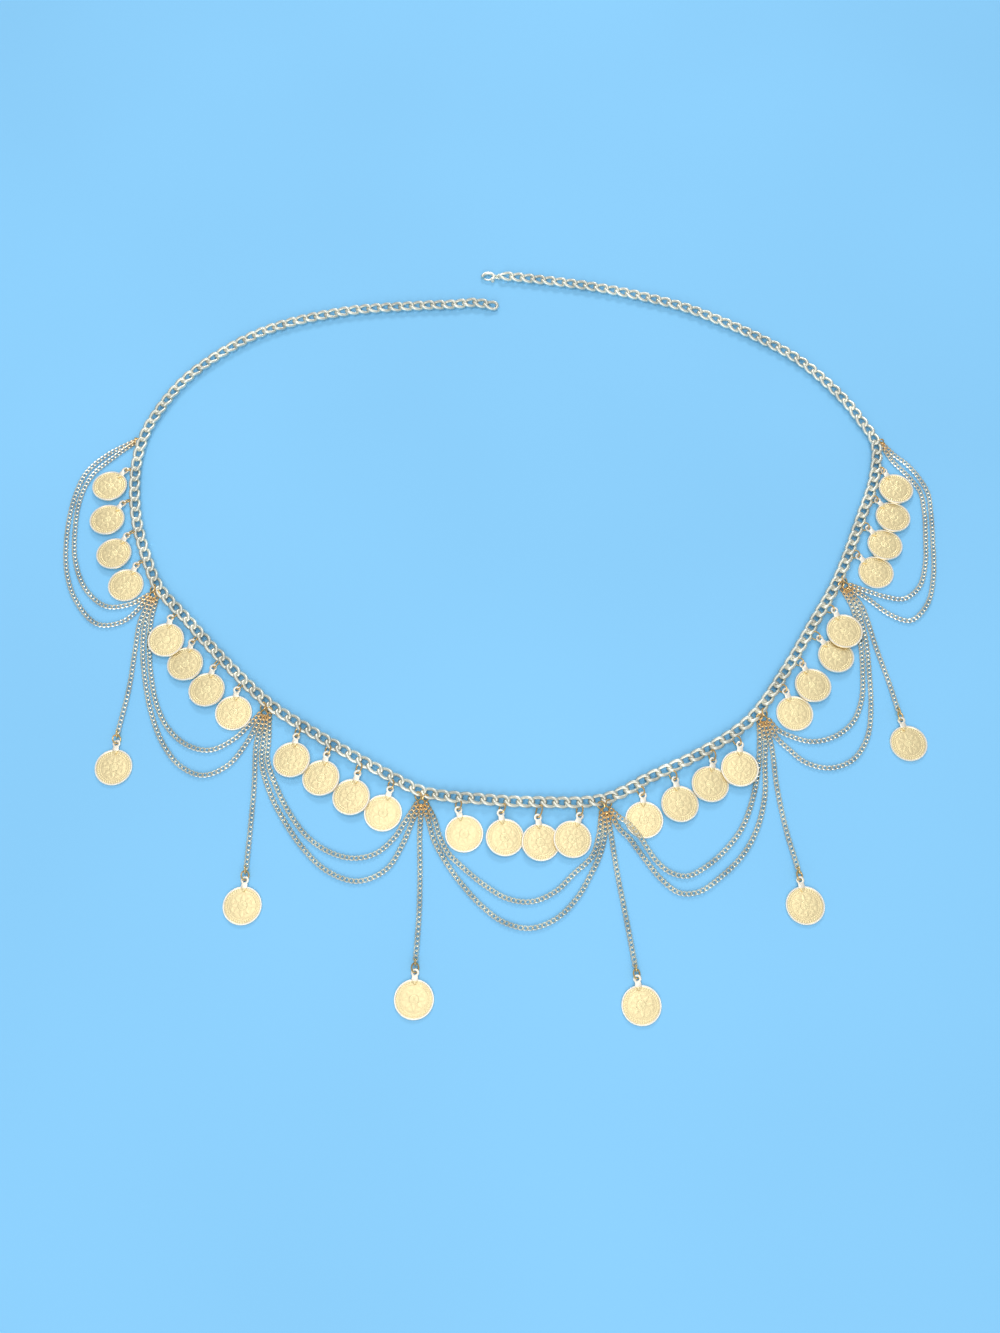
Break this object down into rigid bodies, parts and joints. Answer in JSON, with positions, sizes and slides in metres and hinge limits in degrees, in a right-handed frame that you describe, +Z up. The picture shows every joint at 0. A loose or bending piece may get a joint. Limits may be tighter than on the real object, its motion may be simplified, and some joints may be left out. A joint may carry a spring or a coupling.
{
  "type": "coin waist chain",
  "caption": "Gold-tone chain belt laid in a loop, with rows of coins on jump rings, double swags of fine chain, coin drops and a lobster clasp.",
  "frame": {"origin": "middle of the ground that the laid-out chain covers, at the height of the surface it lies on", "axes": "+Z up; +Y from the coin drops towards the clasp; +X to the right as seen from above"},
  "size_m": [0.4954, 0.4534, 0.0044],
  "materials": {
    "waist_chain_gold": "bright pale gold plate",
    "fine_chain_gold": "bright pale gold plate",
    "coin_gold": "satin pale gold plate",
    "ring_gold": "bright warm gold plate",
    "clasp_gold": "bright gold plate"
  },
  "bodies": {
    "chains": {"main_chain": "waist_chain_gold", "row_1_coin_1": "coin_gold", "row_1_coin_2": "coin_gold", "row_1_coin_3": "coin_gold", "row_1_coin_4": "coin_gold", "row_2_coin_1": "coin_gold", "row_2_coin_2": "coin_gold", "row_2_coin_3": "coin_gold", "row_2_coin_4": "coin_gold", "row_3_coin_1": "coin_gold", "row_3_coin_2": "coin_gold", "row_3_coin_3": "coin_gold", "row_3_coin_4": "coin_gold", "row_4_coin_1": "coin_gold", "row_4_coin_2": "coin_gold", "row_4_coin_3": "coin_gold", "row_4_coin_4": "coin_gold", "row_5_coin_1": "coin_gold", "row_5_coin_2": "coin_gold", "row_5_coin_3": "coin_gold", "row_5_coin_4": "coin_gold", "row_6_coin_1": "coin_gold", "row_6_coin_2": "coin_gold", "row_6_coin_3": "coin_gold", "row_6_coin_4": "coin_gold", "row_7_coin_1": "coin_gold", "row_7_coin_2": "coin_gold", "row_7_coin_3": "coin_gold", "row_7_coin_4": "coin_gold", "swag_1_inner": "fine_chain_gold", "swag_1_outer": "fine_chain_gold", "swag_2_inner": "fine_chain_gold", "swag_2_outer": "fine_chain_gold", "swag_3_inner": "fine_chain_gold", "swag_3_outer": "fine_chain_gold", "swag_4_inner": "fine_chain_gold", "swag_4_outer": "fine_chain_gold", "swag_5_inner": "fine_chain_gold", "swag_5_outer": "fine_chain_gold", "swag_6_inner": "fine_chain_gold", "swag_6_outer": "fine_chain_gold", "swag_7_inner": "fine_chain_gold", "swag_7_outer": "fine_chain_gold", "drop_1_chain": "fine_chain_gold", "drop_2_chain": "fine_chain_gold", "drop_3_chain": "fine_chain_gold", "drop_4_chain": "fine_chain_gold", "drop_5_chain": "fine_chain_gold", "drop_6_chain": "fine_chain_gold", "left_end_ring": "ring_gold", "right_end_ring": "ring_gold", "clasp_body": "clasp_gold"},
    "drop_coin_1": {"drop_1_coin": "coin_gold"},
    "drop_coin_2": {"drop_2_coin": "coin_gold"},
    "drop_coin_3": {"drop_3_coin": "coin_gold"},
    "drop_coin_4": {"drop_4_coin": "coin_gold"},
    "drop_coin_5": {"drop_5_coin": "coin_gold"},
    "drop_coin_6": {"drop_6_coin": "coin_gold"},
    "clasp_gate": {"clasp_lever": "clasp_gold"}
  },
  "joints": [
    {"name": "drop_coin_1_swing", "type": "hinge", "parent": "chains", "child": "drop_coin_1", "pos_m": [-0.204, -0.0765, 0.0022], "axis": [-0.9998, 0.0174, 0], "range_deg": [0, 120]},
    {"name": "drop_coin_2_swing", "type": "hinge", "parent": "chains", "child": "drop_coin_2", "pos_m": [-0.1302, -0.15, 0.0022], "axis": [-0.9994, 0.0349, 0], "range_deg": [0, 120]},
    {"name": "drop_coin_3_swing", "type": "hinge", "parent": "chains", "child": "drop_coin_3", "pos_m": [-0.0422, -0.1965, 0.0022], "axis": [-0.9998, 0.0174, 0], "range_deg": [0, 120]},
    {"name": "drop_coin_4_swing", "type": "hinge", "parent": "chains", "child": "drop_coin_4", "pos_m": [0.0676, -0.1995, 0.0022], "axis": [-0.9925, -0.1219, 0], "range_deg": [0, 120]},
    {"name": "drop_coin_5_swing", "type": "hinge", "parent": "chains", "child": "drop_coin_5", "pos_m": [0.1528, -0.15, 0.0022], "axis": [-0.9925, -0.1219, 0], "range_deg": [0, 120]},
    {"name": "drop_coin_6_swing", "type": "hinge", "parent": "chains", "child": "drop_coin_6", "pos_m": [0.2142, -0.0635, 0.0022], "axis": [-0.9816, -0.1908, 0], "range_deg": [0, 120]},
    {"name": "clasp_gate_pivot", "type": "hinge", "parent": "chains", "child": "clasp_gate", "pos_m": [-0.0046, 0.2216, 0.00135], "axis": [0, 0, -1], "range_deg": [0, 16]}
  ]
}
